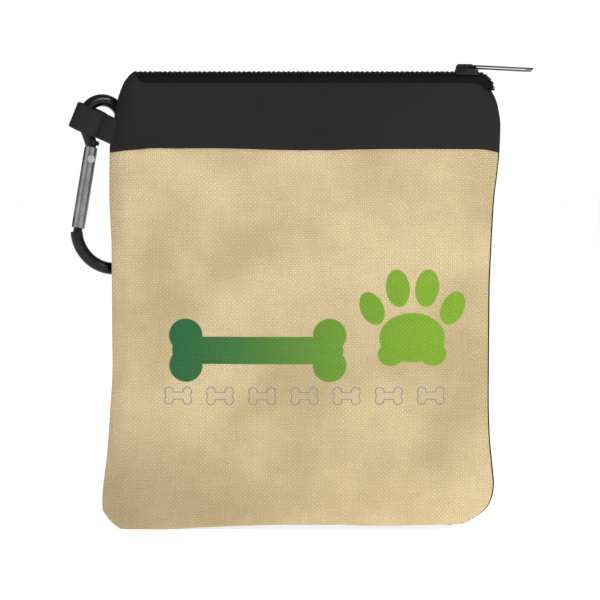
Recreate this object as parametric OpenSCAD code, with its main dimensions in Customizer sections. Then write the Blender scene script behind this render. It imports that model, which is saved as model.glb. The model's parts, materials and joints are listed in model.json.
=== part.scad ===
// Treat pouch: a zip-top cloth pouch with a clip that hangs from a ribbon loop at its side seam.
// It stands upright with its front towards -Y. The origin is the middle of its flat base.

/* [Pouch] */
// Width over the side seams
pouch_w = 127; // [100:1:153]
// Height of the top edges of the front and the back, under the zip
pouch_h = 149.2; // [124:0.2:180]
// Greatest depth, front to back
pouch_d = 16; // [14:0.5:20]
// Depth of the flat base
base_d = 9; // [7:0.5:11]
// Depth over the side seams
seam_d = 2.8; // [2.6:0.1:3.4]
// Depth where the sides begin to pinch in towards the seams
shoulder_d = 7.8; // [7.6:0.1:9]
// Width of the pinched strip beside each seam
pinch_w = 6; // [5:0.5:9]
// Height at which the body is deepest
belly_z = 76; // [62:1:92]
// Height of the band, from the canvas seam to its top edge
band_h = 23.3; // [18:0.1:40]
// Radius of the bottom corners
corner_r = 7; // [3:0.5:9]
// Thickness of the outer cloth
cloth_t = 0.7; // [0.55:0.05:0.85]
// Thickness of the lining
lining_t = 0.4; // [0.3:0.05:0.5]
// Drop from the top edges to the lining's top, where it is sewn to the tapes
lining_drop = 9; // [7:0.5:12]
// Width of the bound seam allowances inside
binding_w = 6; // [4:0.5:7]

/* [Zip] */
// Width of one row of coils
coil_w = 1.85; // [1.5:0.05:2.25]
// Height of the coils
coil_h = 1.5; // [1.25:0.05:1.8]
// Space between the two rows, where the slider's wedge runs
coil_gap = 0.9; // [0.8:0.05:1.1]
// Outer radius of the turn that the rows make at each top corner
turn_r = 6.2; // [5.2:0.1:8]
// Thickness of the tapes
tape_t = 0.5; // [0.4:0.05:0.6]
// Diameter of the filler cord inside each row
filler_d = 0.6; // [0.5:0.05:0.7]

/* [Slider] */
// Length of the slider's body
slider_l = 7.3; // [6:0.1:8.8]
// Distance from the side seam to the slider's middle when the zip is closed
slider_inset = 9.3; // [8.5:0.1:12]
// Thickness of the slider's upper and lower plates
plate_t = 0.6; // [0.5:0.05:0.75]
// Thickness of the slider's side flanges
flange_t = 0.45; // [0.35:0.05:0.5]
// Width of the cap that holds the pull
cap_w = 2.9; // [2.6:0.1:3.4]
// Height of the cap
cap_h = 1.5; // [1.4:0.05:1.8]
// Length of the pull, from its pivot to its tip
pull_l = 20.2; // [16:0.2:25]
// Width of the pull's side bars
bar_w = 0.85; // [0.7:0.05:1]
// Thickness of the pull
pull_t = 0.9; // [0.75:0.05:1]
// Slope of the pull as it lies over the end of the zip
pull_slope = 2.9; // [2:0.1:3]

/* [Loop] */
// Width of the ribbon
ribbon_w = 8.4; // [7:0.1:10.5]
// Thickness of the ribbon
ribbon_t = 0.8; // [0.65:0.05:0.9]
// Length of the loop's hollow, from the end of its seam to the inside of its fold
hollow_l = 8.7; // [8.6:0.1:11]
// Room round the clip's wire in the loop's hollow
hollow_room = 1.3; // [1.2:0.1:1.6]
// How far below the top edge the ribbon's middle meets the side seam
loop_drop = 16.3; // [14:0.1:30]
// Rise of the ribbon above level
loop_rise = 23.6; // [10:0.1:28]
// Turn of the loop towards the back
loop_yaw = 12; // [10:0.5:14]

/* [Clip] */
// Diameter of the clip's wire
wire_d = 4; // [3.4:0.1:4.4]
// Radius of the narrow bend, to the middle of the wire
narrow_r = 6.4; // [6:0.1:7.5]
// Radius of the wide bend, to the middle of the wire
wide_r = 13; // [12:0.5:15]
// Distance between the centres of the two bends
bend_gap = 36.4; // [34:0.2:44]
// Lean of the clip from upright
clip_lean = 6; // [0:0.5:8]
// Turn of the clip's plane, which carries its back bar behind the pouch
clip_yaw = 21.5; // [20:0.5:26]
// Diameter of the gate
gate_d = 4.4; // [4:0.1:4.8]
// Length of the gate above its rivet
gate_head = 3.9; // [3.2:0.1:4.2]
// Diameter of the gate's rivet
rivet_d = 1.7; // [1.4:0.05:2]
// Thickness of the flat tongues that the gate's slots take
tongue_t = 1.5; // [1.3:0.05:1.7]
// Diameter of the gate's spring bore
bore_d = 2.3; // [2.1:0.05:2.5]
// Wire diameter of the gate's spring
spring_wire_d = 0.3; // [0.25:0.05:0.35]

/* [Hidden] */
$fn = 64;

FRONT = -1;
BACK = 1;
far = 400;

// Space between layers, between sliding pieces, and round pins
layer_gap = 0.1;
slip = 0.2;
pin_gap = 0.05;

// The body's wide curves, in plan and in side view
half_w = pouch_w / 2;
shoulder_x = half_w - pinch_w;
pinch_slope = (shoulder_d - seam_d) / 2 / pinch_w;
plan_sag = (pouch_d - shoulder_d) / 2;
plan_r = (pow(shoulder_x, 2) + pow(plan_sag, 2)) / (2 * plan_sag);
side_sag = (pouch_d - base_d) / 2;
side_r = (pow(belly_z, 2) + pow(side_sag, 2)) / (2 * side_sag);
lining_in = cloth_t + layer_gap;
room_in = lining_in + lining_t;

// Levels and places of the zip
tape_z = pouch_h + layer_gap;
coil_z = tape_z + tape_t;
coil_top = coil_z + coil_h;
coil_in = coil_gap / 2;
coil_out = coil_in + coil_w;
turn_x = half_w - turn_r - slip;
turn_z = coil_top - turn_r;
turn_end = 8;
tape_r = turn_r - coil_h - tape_t;
band_z = pouch_h - band_h;
lining_top = pouch_h - lining_drop;
leg_x = shoulder_x - 9;

// Places of the slider and the pull
slider_x = half_w - slider_inset;
flange_in = coil_out + slip;
flange_out = flange_in + flange_t;
plate_z = coil_top + slip;
cap_z = plate_z + plate_t;
cap_back = -2.9;
cap_front = 2.6;
pivot_x = 1.6;
pivot_z = cap_z + cap_h / 2;
bar_in = cap_w / 2 + slip;
bar_out = bar_in + bar_w;
lock_x = -1.9;

// The loop's hollow and the wire's place in it, along the ribbon and across it
loop_z = pouch_h - loop_drop;
hollow_r = wire_d / 2 + hollow_room;
hollow_start = 2.75;
hollow_end = hollow_start + hollow_l - hollow_r;
tail_l = 4.2;
clip_along = hollow_end - 0.1;
clip_across = -1.05;
tail_low = loop_z - ribbon_w / 2 / cos(loop_rise) - tail_l * tan(loop_rise);
binding_top = min(band_z, tail_low - 0.4);

// The clip's straight stretches, and the gate from its rivet
spine_tilt = asin((wide_r - narrow_r) / bend_gap);
spine_l = sqrt(pow(bend_gap, 2) - pow(wide_r - narrow_r, 2));
rivet_u = 0.4 - narrow_r;
rivet_v = -12.4;
nose_u = 0.7 - wide_r;
nose_v = 1.98 - bend_gap;
gate_tilt = atan((rivet_u - nose_u) / (rivet_v - nose_v));
gate_l = sqrt(pow(rivet_u - nose_u, 2) + pow(rivet_v - nose_v, 2));
collar_z = sqrt(pow(gate_head, 2) + pow(gate_d / 2, 2)) + 0.3;
collar_u = rivet_u + collar_z * sin(gate_tilt);
collar_v = rivet_v + collar_z * cos(gate_tilt);
collar_r = sqrt(pow(collar_u, 2) + pow(collar_v, 2));
bar_angle = 360 + atan2(collar_v, collar_u) - acos(narrow_r / collar_r);
bar_l = sqrt(pow(collar_r, 2) - pow(narrow_r, 2));
nose_angle = 176.6;
tongue_half = 1.4;
tongue_reach = 1.9;
plunger_z = tongue_reach + pin_gap;
bore_z = 2.75;
bore_end_z = 12.2;
plunger_l = 2.95;
nose_slot = 3.4;

// Outline from above, drawn in by inset
module plan2d(inset = 0) {
    edge_x = half_w - inset;
    edge_y = max(seam_d / 2 - inset, 0.15);
    ridge_y = edge_y + pinch_slope * edge_x;
    intersection() {
        translate([0, plan_r - pouch_d / 2]) circle(plan_r - inset, $fn = 600);
        translate([0, pouch_d / 2 - plan_r]) circle(plan_r - inset, $fn = 600);
        polygon([[edge_x, -edge_y], [edge_x, edge_y], [0, ridge_y],
                 [-edge_x, edge_y], [-edge_x, -edge_y], [0, -ridge_y]]);
    }
}

// Outline from the side, depth against height
module side2d(inset = 0) {
    intersection() {
        translate([side_r - pouch_d / 2, belly_z]) circle(side_r - inset, $fn = 600);
        translate([pouch_d / 2 - side_r, belly_z]) circle(side_r - inset, $fn = 600);
        translate([-pouch_d, inset]) square([2 * pouch_d, far]);
    }
}

// Outline from the front, width against height, up to level top
module front2d(inset = 0, top = pouch_h) {
    for (side = [-1, 1]) {
        translate([side * (half_w - corner_r), corner_r]) circle(corner_r - inset);
        intersection() {
            translate([side * turn_x, turn_z]) circle(tape_r - layer_gap - inset);
            translate([-half_w, 0]) square([pouch_w, top]);
        }
    }
    translate([inset - half_w, corner_r]) square([pouch_w - 2 * inset, min(top, turn_z) - corner_r]);
    translate([corner_r - half_w, inset]) square([pouch_w - 2 * corner_r, corner_r]);
    translate([-turn_x, corner_r]) square([2 * turn_x, top - corner_r]);
}

// The body's wide form, with no outline from the front
module form(inset = 0) {
    intersection() {
        linear_extrude(far) plan2d(inset);
        rotate([90, 0, 90]) linear_extrude(far, center = true) side2d(inset);
    }
}

module body(inset = 0, top = pouch_h) {
    intersection() {
        form(inset);
        rotate([90, 0, 0]) linear_extrude(far, center = true) front2d(inset, top);
    }
}

// Half of space in front of or behind the seams, between two levels
module half(side, low = 0, high = far) {
    depth = far / 2;
    translate([-depth, side == BACK ? layer_gap / 2 : -depth - layer_gap / 2, low])
        cube([2 * depth, depth, high - low]);
}

// The front or back part of a layer of the body's wall, between two levels
module wall(side, outer, inner, low, high) {
    difference() {
        intersection() {
            body(outer);
            half(side, low, high);
        }
        body(inner, far);
        loop_slot();
    }
}

// A band of the zip that runs straight over the top and turns down at both corners.
// Its outline is drawn in depth and height.
module along_zip(end = turn_end) {
    rotate([90, 0, 90]) linear_extrude(2 * turn_x, center = true) children();
    for (side = [0, 1])
        mirror([side, 0, 0]) translate([turn_x, 0, turn_z])
            rotate([90, 0, 0]) rotate(90) rotate_extrude(angle = end - 90)
                translate([-turn_z, 0]) rotate(-90) children();
}

// Puts a piece of the back in the front, or leaves it
module on_side(side) {
    mirror([0, side == FRONT ? 1 : 0, 0]) children();
}

module front_canvas() {
    color("wheat") wall(FRONT, 0, cloth_t, 0, band_z);
}

module front_band() {
    color([0.17, 0.17, 0.17]) wall(FRONT, 0, cloth_t, band_z, pouch_h);
}

module back_panel() {
    color([0.14, 0.14, 0.14]) wall(BACK, 0, cloth_t, 0, pouch_h);
}

module lining(side) {
    color([0.3, 0.3, 0.32]) wall(side, lining_in, room_in, 0, lining_top);
}

module lining_front() {
    lining(FRONT);
}

module lining_back() {
    lining(BACK);
}

// Seam allowance of one side, bound with tape, lying against the back
module side_binding(side) {
    outer_x = half_w - room_in - 0.5;
    color([0.2, 0.2, 0.2]) translate([0, 0, corner_r + 2]) linear_extrude(binding_top - corner_r - 2)
        polygon([[side * (outer_x - binding_w), layer_gap], [side * outer_x, layer_gap],
                 [side * outer_x, layer_gap + 0.2], [side * (outer_x - 1.5), 0.7],
                 [side * (outer_x - binding_w), 0.9]]);
}

module side_binding_left() {
    side_binding(-1);
}

module side_binding_right() {
    side_binding(1);
}

module bottom_binding() {
    length = pouch_w - 2 * (corner_r + binding_w);
    color([0.2, 0.2, 0.2]) translate([-length / 2, layer_gap, room_in + slip])
        cube([length, 0.8, binding_w - 1]);
}

// One tape: flat under its coils, down inside the cloth along the middle, and round the corners
module tape(side) {
    color([0.11, 0.11, 0.11]) on_side(side) {
        intersection() {
            translate([0, 0, tape_z]) linear_extrude(tape_t) plan2d();
            translate([-turn_x, coil_in, 0]) cube([2 * turn_x, pouch_d, far]);
        }
        intersection() {
            difference() {
                form(lining_in);
                form(lining_in + tape_t);
            }
            translate([-leg_x, coil_in, lining_top + layer_gap])
                cube([2 * leg_x, pouch_d, coil_z - lining_top - layer_gap]);
        }
        difference() {
            along_zip() translate([coil_in, tape_z]) square([coil_w + 0.3, tape_t]);
            translate([-turn_x, 0, 0]) cube([2 * turn_x, pouch_d, far]);
        }
    }
}

module tape_front() {
    tape(FRONT);
}

module tape_back() {
    tape(BACK);
}

module filler2d(gap = 0) {
    translate([coil_in + coil_w / 2, coil_z + coil_h / 2]) circle(d = filler_d + 2 * gap);
}

// One row of coils, as the solid that it fills
module coil(side) {
    color([0.07, 0.07, 0.07]) on_side(side) along_zip() difference() {
        translate([coil_in, coil_z]) square([coil_w, coil_h]);
        filler2d(pin_gap);
    }
}

module coil_front() {
    coil(FRONT);
}

module coil_back() {
    coil(BACK);
}

module filler_cord_front() {
    color([0.1, 0.1, 0.1]) on_side(FRONT) along_zip() filler2d();
}

module filler_cord_back() {
    color([0.1, 0.1, 0.1]) on_side(BACK) along_zip() filler2d();
}

// Bars of stitches that close the zip under the ends of its coils
module zip_end_tacks() {
    tack_h = tape_r * sin(turn_end) - layer_gap - 0.05;
    color([0.09, 0.09, 0.09]) for (side = [0, 1])
        mirror([side, 0, 0]) translate([turn_x + tape_r + slip, -coil_out, turn_z + 0.05])
            cube([turn_r - tape_r - slip, 2 * coil_out, tack_h]);
}

module rounded2d(length, width, r) {
    for (sx = [-1, 1], sy = [-1, 1])
        translate([sx * (length / 2 - r), sy * (width / 2 - r)]) circle(r);
    square([length, width - 2 * r], center = true);
    square([length - 2 * r, width], center = true);
}

module slider_body() {
    corner = 0.8;
    lower_z = tape_z - slip - plate_t;
    flange_z = coil_z + slip;
    color([0.06, 0.06, 0.06]) translate([slider_x, 0, 0]) difference() {
        union() {
            translate([0, 0, lower_z]) linear_extrude(plate_t)
                rounded2d(slider_l - 2 * corner, 2 * flange_in, corner);
            translate([0, 0, flange_z]) linear_extrude(cap_z - flange_z)
                rounded2d(slider_l, 2 * flange_out, corner);
            translate([0.8, -coil_in + slip, lower_z]) cube([2, coil_gap - 2 * slip, cap_z - lower_z]);
        }
        for (side = [-1, 1])
            translate([-slider_l, side * (coil_in - slip + flange_in) / 2, 0])
                translate([0, -(flange_in - coil_in + slip) / 2, flange_z - 1])
                    cube([2 * slider_l, flange_in - coil_in + slip, plate_z - flange_z + 1]);
        translate([-slider_l, slip - coil_in, flange_z - slip])
            cube([slider_l + 1, coil_gap - 2 * slip, plate_z - flange_z + slip]);
        translate([3, slip - coil_in, flange_z - slip])
            cube([slider_l, coil_gap - 2 * slip, plate_z - flange_z + slip]);
        translate([lock_x, 0, plate_z]) cube([1, 0.9, 3 * plate_t], center = true);
    }
}

// Cap over the slider's upper plate, with the cross hole for the pull and a pocket for the lock spring
module slider_cap() {
    color([0.06, 0.06, 0.06]) translate([slider_x, 0, cap_z]) difference() {
        rotate([90, 0, 0]) linear_extrude(cap_w, center = true) difference() {
            polygon([[cap_back, 0], [cap_front, 0], [cap_front, cap_h * 0.55], [cap_front - 0.5, cap_h],
                     [cap_back + 0.4, cap_h], [cap_back, cap_h - 0.4]]);
            translate([pivot_x, pivot_z - cap_z]) circle(d = pull_t + 2 * pin_gap);
        }
        translate([-2.3, -0.85, -1]) cube([2.8, 1.7, 2]);
    }
}

module slider_lock_spring() {
    leaf_z = cap_z + 0.25;
    pin_z = plate_z - 0.5;
    color("silver") translate([slider_x, 0, 0]) {
        translate([-2.2, -0.6, leaf_z]) cube([2.6, 1.2, 0.2]);
        translate([lock_x - 0.25, -0.22, pin_z]) cube([0.5, 0.44, leaf_z - pin_z]);
    }
}

// Pull: a slotted frame whose pivot bar runs through the cap
module pull_tab() {
    tip = 2;
    color([0.45, 0.45, 0.45]) translate([slider_x + pivot_x, 0, pivot_z]) rotate([0, pull_slope, 0]) {
        rotate([90, 0, 0]) cylinder(d = pull_t, h = 2 * bar_out, center = true);
        for (side = [-1, 1])
            translate([0, side * (bar_in + bar_w / 2) - bar_w / 2, -pull_t / 2])
                cube([pull_l - tip + 0.6, bar_w, pull_t]);
        translate([pull_l - tip / 2, 0, -pull_t / 2]) linear_extrude(pull_t)
            rounded2d(tip, 2 * bar_out, 0.6);
    }
}

// Turns the X axis into the ribbon's line, pointing inwards, from the side seam
module loop_place() {
    translate([-half_w, 0, loop_z]) rotate([0, 0, -loop_yaw]) rotate([0, loop_rise, 0]) children();
}

// The slot in the cloth and the lining that the ribbon's tail fills
module loop_slot() {
    loop_place() cube([2 * tail_l + 2 * layer_gap, 2 * (ribbon_t + layer_gap), ribbon_w + 2 * layer_gap],
                      center = true);
}

// Folded ribbon: both plies lie together in the seam and open round the clip's wire
module side_loop() {
    outer_r = hollow_r + ribbon_t;
    start = hollow_start + hollow_r;
    color([0.18, 0.18, 0.18]) loop_place() linear_extrude(ribbon_w, center = true) difference() {
        union() {
            for (x = [start, hollow_end]) translate([-x, 0]) circle(outer_r);
            translate([-hollow_end, -outer_r]) square([hollow_end - start, 2 * outer_r]);
            translate([-start, -ribbon_t]) square([start + tail_l, 2 * ribbon_t]);
        }
        for (x = [start, hollow_end]) translate([-x, 0]) circle(hollow_r);
        translate([-hollow_end, -hollow_r]) square([hollow_end - start, 2 * hollow_r]);
    }
}

// The clip's own frame: its origin is the centre of the narrow bend, and its plane is X and Z
module clip_place() {
    loop_place() translate([-clip_along, 0, clip_across])
        rotate([0, -loop_rise, 0]) rotate([0, 0, loop_yaw + clip_yaw]) rotate([0, -clip_lean, 0])
            translate([narrow_r, 0, 0]) children();
}

// Its origin is the rivet, and the gate runs down from it along -Z
module gate_place() {
    clip_place() translate([rivet_u, 0, rivet_v]) rotate([0, gate_tilt, 0]) children();
}

module bend(r, sweep) {
    rotate([90, 0, 0]) rotate_extrude(angle = sweep) translate([r, 0]) circle(d = wire_d);
}

module tongue(low, high, half) {
    rotate([90, 0, 0]) linear_extrude(tongue_t, center = true)
        translate([-half, low]) square([2 * half, high - low]);
}

module clip_frame() {
    collar_d = gate_d + 0.4;
    color([0.05, 0.05, 0.05]) {
        clip_place() {
            rotate([0, -spine_tilt, 0]) {
                bend(narrow_r, bar_angle - spine_tilt);
                translate([narrow_r, 0, -spine_l]) cylinder(d = wire_d, h = spine_l);
                translate([narrow_r - wide_r, 0, -spine_l]) bend(wide_r, nose_angle - 360 - spine_tilt);
            }
            translate([narrow_r * cos(bar_angle), 0, narrow_r * sin(bar_angle)]) rotate([0, 180 - bar_angle, 0])
                translate([0, 0, -bar_l]) cylinder(d = wire_d - 0.04, h = bar_l + 0.3);
        }
        gate_place() {
            translate([0, 0, collar_z]) cylinder(d = collar_d, h = 1.4);
            difference() {
                tongue(-tongue_reach, collar_z + 1.2, tongue_half);
                rotate([90, 0, 0]) cylinder(d = rivet_d + 0.04, h = gate_d, center = true);
            }
            tongue(-gate_l - 1.6, -gate_l + nose_slot - 0.8, 1.3);
        }
    }
}

module gate_rivet() {
    head_y = gate_d / 2 + 0.03;
    color("gainsboro") gate_place() rotate([90, 0, 0]) {
        cylinder(d = rivet_d, h = 2 * head_y, center = true);
        for (side = [0, 1])
            mirror([0, 0, side]) translate([0, 0, head_y]) cylinder(d = rivet_d + 0.8, h = 0.3);
    }
}

module clip_gate() {
    slot_t = tongue_t + 2 * slip;
    color("silver") gate_place() difference() {
        translate([0, 0, -gate_l]) cylinder(d = gate_d, h = gate_l + gate_head);
        translate([-gate_d, -slot_t / 2, -bore_z]) cube([2 * gate_d, slot_t, bore_z + 2 * gate_head]);
        translate([-gate_d, -slot_t / 2, -gate_l - 1]) cube([2 * gate_d, slot_t, nose_slot + 1]);
        translate([0, 0, -bore_end_z]) cylinder(d = bore_d, h = bore_end_z);
        rotate([90, 0, 0]) cylinder(d = rivet_d + 2 * pin_gap, h = 2 * gate_d, center = true);
    }
}

// Its slim tip stands in the slot and bears on the tongue's flat end
module gate_plunger() {
    tip_l = bore_z + slip - plunger_z;
    color("goldenrod") gate_place() {
        translate([0, 0, -plunger_z - tip_l]) cylinder(d = tongue_t + 0.1, h = tip_l);
        translate([0, 0, -plunger_z - plunger_l]) cylinder(d = bore_d - 3 * pin_gap, h = plunger_l - tip_l);
    }
}

// A level cut through a coil spring is a short arc of a ring, which the twist turns into the wire
module gate_spring() {
    turns = 8;
    spring_z = plunger_z + plunger_l + pin_gap;
    length = bore_end_z - spring_z - pin_gap;
    coil_r = (bore_d - spring_wire_d) / 2 - slip;
    arc = 360 * turns * spring_wire_d / length;
    inner = [for (i = [0:8]) (coil_r - spring_wire_d / 2) * [cos(arc * i / 8), sin(arc * i / 8)]];
    outer = [for (i = [8:-1:0]) (coil_r + spring_wire_d / 2) * [cos(arc * i / 8), sin(arc * i / 8)]];
    color("lightgray") gate_place() translate([0, 0, -spring_z - length])
        linear_extrude(length, twist = -360 * turns, slices = 12 * turns, $fn = 8)
            polygon(concat(inner, outer));
}

front_canvas();
front_band();
back_panel();
lining_front();
lining_back();
side_binding_left();
side_binding_right();
bottom_binding();
tape_front();
tape_back();
coil_front();
coil_back();
filler_cord_front();
filler_cord_back();
zip_end_tacks();
slider_body();
slider_cap();
slider_lock_spring();
pull_tab();
side_loop();
clip_frame();
gate_rivet();
clip_gate();
gate_plunger();
gate_spring();
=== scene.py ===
"""Treat pouch: canvas front, dark band, coil zip, and a spring-gate clip on a ribbon loop."""
import json
import math

import bmesh
import bpy
import numpy as np
from mathutils import Matrix, Vector


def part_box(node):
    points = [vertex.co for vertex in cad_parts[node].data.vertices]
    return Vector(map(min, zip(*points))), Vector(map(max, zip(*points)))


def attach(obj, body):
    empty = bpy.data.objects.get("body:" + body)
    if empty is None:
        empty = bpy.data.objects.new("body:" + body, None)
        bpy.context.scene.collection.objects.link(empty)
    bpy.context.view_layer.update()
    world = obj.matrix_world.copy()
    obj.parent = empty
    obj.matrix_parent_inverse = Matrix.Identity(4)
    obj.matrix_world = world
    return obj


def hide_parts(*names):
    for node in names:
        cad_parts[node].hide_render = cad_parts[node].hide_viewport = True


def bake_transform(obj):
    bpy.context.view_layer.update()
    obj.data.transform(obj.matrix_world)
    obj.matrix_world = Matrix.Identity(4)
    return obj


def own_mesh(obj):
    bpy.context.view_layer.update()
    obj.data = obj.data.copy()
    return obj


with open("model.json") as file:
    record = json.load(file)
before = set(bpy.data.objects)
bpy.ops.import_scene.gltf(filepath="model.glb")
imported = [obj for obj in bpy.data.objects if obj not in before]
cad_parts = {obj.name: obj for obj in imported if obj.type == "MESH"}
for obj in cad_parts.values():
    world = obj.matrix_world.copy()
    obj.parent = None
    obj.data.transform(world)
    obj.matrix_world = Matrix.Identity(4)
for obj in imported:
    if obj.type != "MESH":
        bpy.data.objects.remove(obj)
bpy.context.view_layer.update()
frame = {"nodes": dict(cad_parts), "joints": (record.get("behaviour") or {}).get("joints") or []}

# Sizes are in millimetres until a mesh is made. Those of the frame come first.
MM = 0.001
JOINTS = {joint["name"]: joint for joint in frame["joints"]}


def corners(node):
    """Lowest and highest corner of a CAD node, in millimetres."""
    low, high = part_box(node)
    return np.array(low) / MM, np.array(high) / MM


BACK_HIGH = corners("back_panel")[1]
COIL_HIGH = corners("coil_back")[1]
SLIDER_LOW, SLIDER_HIGH = corners("slider_body")
CAP_LOW, CAP_HIGH = corners("slider_cap")
HALF_WIDTH = BACK_HIGH[0]
HALF_DEPTH = 8.0
COIL_TOP = COIL_HIGH[2]
COIL_OUT = COIL_HIGH[1]
COIL_H = 1.5
TURN_R = 6.2
BELLY_Z = 76.0
PLAN_R = 405.0
SIDE_R = 827.0

# The cloth
CANVAS_T = 0.7
BAND_TOP = 147.5
SEAM_Z = 126.0
SEAM_EDGE = 6.0
LINING_T = 0.35
LINING_LOW = 3.0
LINING_TOP = 139.0
LINING_INSET = (1.6, 1.6)
SPLIT_X = 0.0
# Where the front starts to leave the side seams, and where it is fully open, in X
MOUTH_LEFT = (-50.0, -4.0)
MOUTH_RIGHT = (60.0, 12.0)
CLOTH_STEP = 0.8
WEAVE_PITCH = 0.72
YARN_WANDER = 1.12
BISCUIT_PITCH = 13.8

# The zip
TOOTH_PITCH = 1.25
TOOTH_WIRE = 0.33
TOOTH_HEAD = 0.35
ZIP_START = -53.8
SLIDER_STOP = -53.6
TAPE_RISE = 0.3
TAPE_T = 0.45
CORD_R = 0.58
STITCH_PITCH = 1.6
TACK_PITCH = 0.28

# The loop
LOOP_YAW = math.radians(12.0)
LOOP_RISE = math.radians(23.6)
RIBBON_W = 8.4
RIBBON_T = 0.8
RIBBON_R = 3.7
RIBBON_START = 2.0
RIBBON_OPEN = 5.6
RIBBON_FOLD = 8.15
RIBBON_TAIL = 4.0

# The pull
PULL_SLOPE = math.radians(2.9)
PULL_ROLL = math.radians(7.0)
PULL_HALF = 0.25
PULL_BAR_Y = 2.07
PULL_BAR = 0.85
PULL_L = 20.2

# The camera and the surroundings, in metres
LENS = 100
CAMERA_RISE = math.radians(4.0)
CAMERA_AWAY = 0.5458
AIM = (-0.00016, -0.004, 0.0768)
SKY_SEEN = 1.05
SKY_LIGHT = 0.33


# ------------------------------------------------------------------ numbers and meshes


def through(*points):
    """A smooth function through (place, value) pairs that never overshoots them."""
    xs, ys = (np.array(column, float) for column in zip(*points))
    steps, rises = np.diff(xs), np.diff(ys)
    slopes = rises / steps
    tangents = np.zeros_like(xs)
    tangents[0], tangents[-1] = slopes[0], slopes[-1]
    same = slopes[:-1] * slopes[1:] > 0
    total = np.where(same, slopes[:-1] + slopes[1:], 1.0)
    tangents[1:-1] = np.where(same, 2 * slopes[:-1] * slopes[1:] / total, 0)

    def value(x):
        x = np.clip(np.asarray(x, float), xs[0], xs[-1])
        i = np.clip(np.searchsorted(xs, x) - 1, 0, len(xs) - 2)
        t = (x - xs[i]) / steps[i]
        bump = t * t * (3 - 2 * t)
        lean = t * (1 - t) ** 2 * tangents[i] - t * t * (1 - t) * tangents[i + 1]
        return ys[i] + rises[i] * bump + steps[i] * lean

    return value


def lattice(x, z, cell, seed):
    """Smooth noise from -1 to 1 with hills about a cell across."""
    values = np.random.default_rng(seed).uniform(-1, 1, (64, 64))
    u, v = x / cell + 32, z / cell + 8
    i, j = np.floor(u).astype(int), np.floor(v).astype(int)
    s, t = u - i, v - j
    s, t = s * s * (3 - 2 * s), t * t * (3 - 2 * t)
    i, j = i % 64, j % 64
    low = values[i, j] * (1 - s) + values[(i + 1) % 64, j] * s
    high = values[i, (j + 1) % 64] * (1 - s) + values[(i + 1) % 64, (j + 1) % 64] * s
    return low * (1 - t) + high * t


def make(name, points, faces, material, smooth=True, normals=None):
    """A mesh object from points in millimetres."""
    mesh = bpy.data.meshes.new(name)
    mesh.from_pydata((np.asarray(points) * MM).tolist(), [], faces)
    mesh.polygons.foreach_set("use_smooth", [smooth] * len(mesh.polygons))
    mesh.materials.append(material)
    if normals is not None:
        mesh.normals_split_custom_set(normals)
    mesh.update()
    obj = bpy.data.objects.new(name, mesh)
    bpy.context.collection.objects.link(obj)
    return obj


def settle(obj):
    """Turns the object's modifiers into plain mesh."""
    graph = bpy.context.evaluated_depsgraph_get()
    graph.update()
    mesh = bpy.data.meshes.new_from_object(obj.evaluated_get(graph))
    obj.modifiers.clear()
    obj.data = mesh
    return obj


def bevelled(obj, width, segments=3, angle=30):
    """Rounds the edges sharper than an angle."""
    bevel = obj.modifiers.new("edges", "BEVEL")
    bevel.width = width * MM
    bevel.segments = segments
    bevel.limit_method = "ANGLE"
    bevel.angle_limit = math.radians(angle)
    settle(obj)
    obj.data.polygons.foreach_set("use_smooth", [True] * len(obj.data.polygons))
    return obj


def facing_out(obj):
    """Turns the faces of a closed piece outwards."""
    mesh = bmesh.new()
    mesh.from_mesh(obj.data)
    bmesh.ops.recalc_face_normals(mesh, faces=mesh.faces)
    mesh.to_mesh(obj.data)
    mesh.free()
    return obj


def joined(name, parts):
    """One object from several, with the material of the first."""
    merged = bmesh.new()
    for part in parts:
        merged.from_mesh(part.data)
    mesh = bpy.data.meshes.new(name)
    merged.to_mesh(mesh)
    merged.free()
    mesh.materials.append(parts[0].data.materials[0])
    obj = bpy.data.objects.new(name, mesh)
    bpy.context.collection.objects.link(obj)
    for part in parts:
        bpy.data.objects.remove(part)
    return obj


def block(name, low, high, material):
    """A box between two corners."""
    (a, b, c), (d, e, f) = low, high
    points = [(a, b, c), (d, b, c), (d, e, c), (a, e, c), (a, b, f), (d, b, f), (d, e, f), (a, e, f)]
    faces = [(0, 3, 2, 1), (4, 5, 6, 7), (0, 1, 5, 4), (1, 2, 6, 5), (2, 3, 7, 6), (3, 0, 4, 7)]
    return make(name, points, faces, material, smooth=False)


def prism(name, outline, low, high, material):
    """An outline in X and Z, drawn out from low to high along Y."""
    n = len(outline)
    points = [(x, y, z) for y in (low, high) for x, z in outline]
    faces = [tuple(range(n)), tuple(range(2 * n - 1, n - 1, -1))]
    faces += [((i + 1) % n, i, n + i, n + (i + 1) % n) for i in range(n)]
    return facing_out(make(name, points, faces, material, smooth=False))


def tube(name, path, radius, material, sides=12, closed=False):
    """A round bar along a path of points."""
    path = np.asarray(path, float)
    n = len(path)
    ahead = np.roll(path, -1, 0) - np.roll(path, 1, 0)
    if not closed:
        ahead[0], ahead[-1] = path[1] - path[0], path[-1] - path[-2]
    ahead /= np.linalg.norm(ahead, axis=1)[:, None]
    across = np.cross(ahead[0], (0.31, 0.86, 0.4))
    rings = []
    for i in range(n):
        across = across - ahead[i] * (across @ ahead[i])
        across /= np.linalg.norm(across)
        other = np.cross(ahead[i], across)
        turn = np.arange(sides) * 2 * math.pi / sides
        ring = np.outer(np.cos(turn), across) + np.outer(np.sin(turn), other)
        rings.append(path[i] + radius * ring)
    points = np.vstack(rings)
    faces = []
    for i in range(n if closed else n - 1):
        a, b = i * sides, (i + 1) % n * sides
        faces += [(a + k, a + (k + 1) % sides, b + (k + 1) % sides, b + k) for k in range(sides)]
    if not closed:
        faces += [tuple(range(sides))[::-1], tuple(range((n - 1) * sides, n * sides))]
    return make(name, points, faces, material)


# ------------------------------------------------------------------ the pouch's form

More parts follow.
